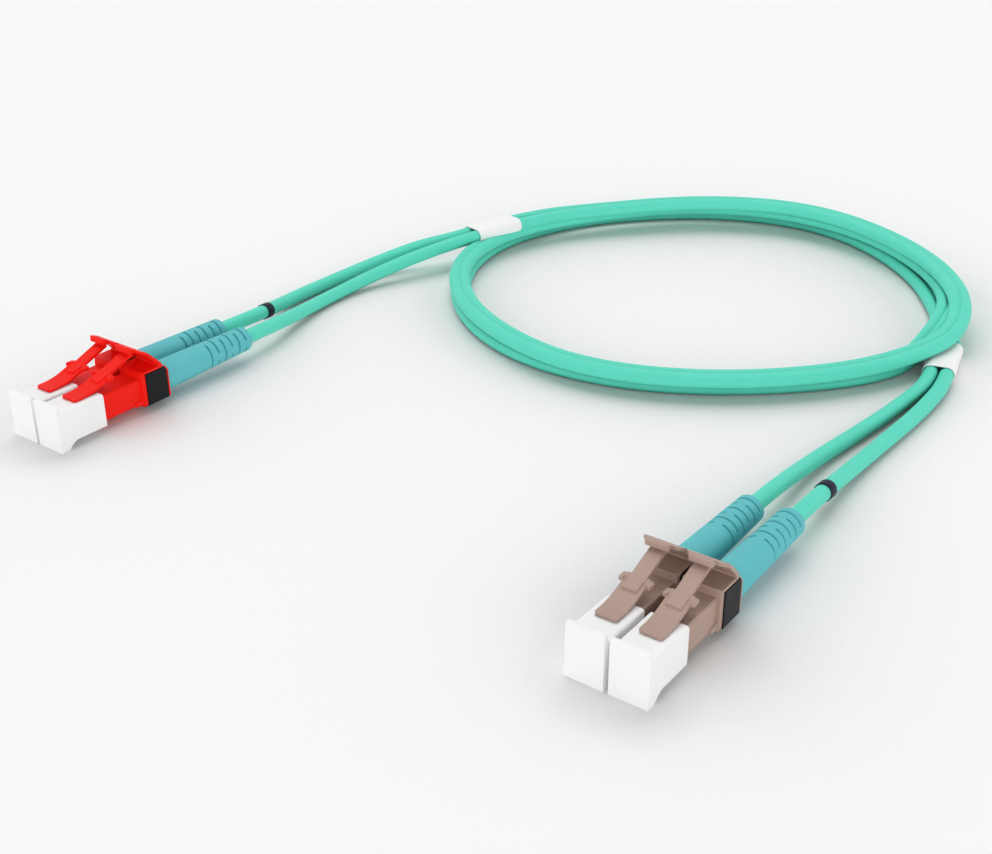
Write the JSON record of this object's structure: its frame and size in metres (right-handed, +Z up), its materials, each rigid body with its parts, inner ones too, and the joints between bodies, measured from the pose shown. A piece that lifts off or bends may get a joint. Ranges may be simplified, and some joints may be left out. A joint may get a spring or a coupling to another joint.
{
  "type": "duplex fibre patch cord",
  "caption": "Duplex fibre patch cord with LC plugs at both ends, dust caps on, boots, duplex clips and a coil of aqua twin cord.",
  "frame": {"origin": "on the floor under the middle of the near duplex plug, halfway from its dust caps' face to its boots' end", "axes": "+Z up; +Y along the near plug from its dust caps to its boots and cord; +X to the plug's right, away from the far plug"},
  "size_m": [0.1231, 0.1673, 0.012],
  "materials": {
    "housing_near": "moulded beige PBT, satin",
    "housing_far": "moulded red PBT, satin",
    "cap_white": "soft white polyethylene",
    "boot_teal": "soft moulded elastomer, matt",
    "jacket_aqua": "smooth cable jacket, satin",
    "zirconia": "polished zirconia ceramic",
    "flange_metal": "nickel plated",
    "spring_steel": "bright stainless wire",
    "rear_metal": "nickel plated",
    "crimp_metal": "plain metal sleeve",
    "buffer_white": "0.9 mm buffer tube",
    "clip_black": "moulded black nylon"
  },
  "bodies": {
    "cord_set": {"cord_coil": "jacket_aqua", "far_clip": "clip_black", "far_left_boot": "boot_teal", "far_left_buffer": "buffer_white", "far_left_crimp_sleeve": "crimp_metal", "far_left_housing": "housing_far", "far_left_leg": "jacket_aqua", "far_left_rear_body": "rear_metal", "far_left_spring": "spring_steel", "far_marker": "clip_black", "far_right_boot": "boot_teal", "far_right_buffer": "buffer_white", "far_right_crimp_sleeve": "crimp_metal", "far_right_housing": "housing_far", "far_right_leg": "jacket_aqua", "far_right_rear_body": "rear_metal", "far_right_spring": "spring_steel", "far_sleeve": "cap_white", "near_clip": "clip_black", "near_left_boot": "boot_teal", "near_left_buffer": "buffer_white", "near_left_crimp_sleeve": "crimp_metal", "near_left_housing": "housing_near", "near_left_leg": "jacket_aqua", "near_left_rear_body": "rear_metal", "near_left_spring": "spring_steel", "near_marker": "clip_black", "near_right_boot": "boot_teal", "near_right_buffer": "buffer_white", "near_right_crimp_sleeve": "crimp_metal", "near_right_housing": "housing_near", "near_right_leg": "jacket_aqua", "near_right_rear_body": "rear_metal", "near_right_spring": "spring_steel", "near_sleeve": "cap_white"},
    "near_left_cap_body": {"near_left_dust_cap": "cap_white"},
    "near_left_trigger_body": {"near_left_trigger": "housing_near"},
    "near_left_latch_body": {"near_left_latch": "housing_near"},
    "near_left_ferrule_body": {"near_left_ferrule": "zirconia", "near_left_ferrule_flange": "flange_metal"},
    "near_right_cap_body": {"near_right_dust_cap": "cap_white"},
    "near_right_trigger_body": {"near_right_trigger": "housing_near"},
    "near_right_latch_body": {"near_right_latch": "housing_near"},
    "near_right_ferrule_body": {"near_right_ferrule": "zirconia", "near_right_ferrule_flange": "flange_metal"},
    "far_left_cap_body": {"far_left_dust_cap": "cap_white"},
    "far_left_trigger_body": {"far_left_trigger": "housing_far"},
    "far_left_latch_body": {"far_left_latch": "housing_far"},
    "far_left_ferrule_body": {"far_left_ferrule": "zirconia", "far_left_ferrule_flange": "flange_metal"},
    "far_right_cap_body": {"far_right_dust_cap": "cap_white"},
    "far_right_trigger_body": {"far_right_trigger": "housing_far"},
    "far_right_latch_body": {"far_right_latch": "housing_far"},
    "far_right_ferrule_body": {"far_right_ferrule": "zirconia", "far_right_ferrule_flange": "flange_metal"}
  },
  "joints": [
    {"name": "near_left_cap_pull", "type": "slide", "parent": "cord_set", "child": "near_left_cap_body", "axis": [0, -1, 0], "range_m": [0, 0.009]},
    {"name": "near_left_trigger_press", "type": "hinge", "parent": "cord_set", "child": "near_left_trigger_body", "pos_m": [-0.00313, -0.00045, 0.00752], "axis": [1, 0, 0], "range_deg": [0, 12], "stiffness_Nm_per_rad": 0.006},
    {"name": "near_left_latch_press", "type": "hinge", "parent": "cord_set", "child": "near_left_latch_body", "pos_m": [-0.00313, -0.01515, 0.00693], "axis": [-1, 0, 0], "range_deg": [0, 6], "stiffness_Nm_per_rad": 0.006},
    {"name": "near_left_ferrule_push", "type": "slide", "parent": "cord_set", "child": "near_left_ferrule_body", "axis": [0, 1, 0], "range_m": [0, 0.0008], "stiffness_N_per_m": 600, "deforming": ["near_left_spring"]},
    {"name": "near_right_cap_pull", "type": "slide", "parent": "cord_set", "child": "near_right_cap_body", "axis": [0, -1, 0], "range_m": [0, 0.009]},
    {"name": "near_right_trigger_press", "type": "hinge", "parent": "cord_set", "child": "near_right_trigger_body", "pos_m": [0.00313, -0.00045, 0.00752], "axis": [1, 0, 0], "range_deg": [0, 12], "stiffness_Nm_per_rad": 0.006},
    {"name": "near_right_latch_press", "type": "hinge", "parent": "cord_set", "child": "near_right_latch_body", "pos_m": [0.00313, -0.01515, 0.00693], "axis": [-1, 0, 0], "range_deg": [0, 6], "stiffness_Nm_per_rad": 0.006},
    {"name": "near_right_ferrule_push", "type": "slide", "parent": "cord_set", "child": "near_right_ferrule_body", "axis": [0, 1, 0], "range_m": [0, 0.0008], "stiffness_N_per_m": 600, "deforming": ["near_right_spring"]},
    {"name": "far_left_cap_pull", "type": "slide", "parent": "cord_set", "child": "far_left_cap_body", "axis": [0, -1, 0], "range_m": [0, 0.009]},
    {"name": "far_left_trigger_press", "type": "hinge", "parent": "cord_set", "child": "far_left_trigger_body", "pos_m": [-0.11088, 0.00048, 0.00752], "axis": [1, 0, 0], "range_deg": [0, 12], "stiffness_Nm_per_rad": 0.006},
    {"name": "far_left_latch_press", "type": "hinge", "parent": "cord_set", "child": "far_left_latch_body", "pos_m": [-0.11088, -0.01422, 0.00693], "axis": [-1, 0, 0], "range_deg": [0, 6], "stiffness_Nm_per_rad": 0.006},
    {"name": "far_left_ferrule_push", "type": "slide", "parent": "cord_set", "child": "far_left_ferrule_body", "axis": [0, 1, 0], "range_m": [0, 0.0008], "stiffness_N_per_m": 600, "deforming": ["far_left_spring"]},
    {"name": "far_right_cap_pull", "type": "slide", "parent": "cord_set", "child": "far_right_cap_body", "axis": [0, -1, 0], "range_m": [0, 0.009]},
    {"name": "far_right_trigger_press", "type": "hinge", "parent": "cord_set", "child": "far_right_trigger_body", "pos_m": [-0.10462, 0.00048, 0.00752], "axis": [1, 0, 0], "range_deg": [0, 12], "stiffness_Nm_per_rad": 0.006},
    {"name": "far_right_latch_press", "type": "hinge", "parent": "cord_set", "child": "far_right_latch_body", "pos_m": [-0.10462, -0.01422, 0.00693], "axis": [-1, 0, 0], "range_deg": [0, 6], "stiffness_Nm_per_rad": 0.006},
    {"name": "far_right_ferrule_push", "type": "slide", "parent": "cord_set", "child": "far_right_ferrule_body", "axis": [0, 1, 0], "range_m": [0, 0.0008], "stiffness_N_per_m": 600, "deforming": ["far_right_spring"]}
  ],
  "couplings": [
    {"joint": "near_left_latch_press", "follows": "near_left_trigger_press", "ratio": 0.5},
    {"joint": "near_right_latch_press", "follows": "near_right_trigger_press", "ratio": 0.5},
    {"joint": "far_left_latch_press", "follows": "far_left_trigger_press", "ratio": 0.5},
    {"joint": "far_right_latch_press", "follows": "far_right_trigger_press", "ratio": 0.5}
  ]
}
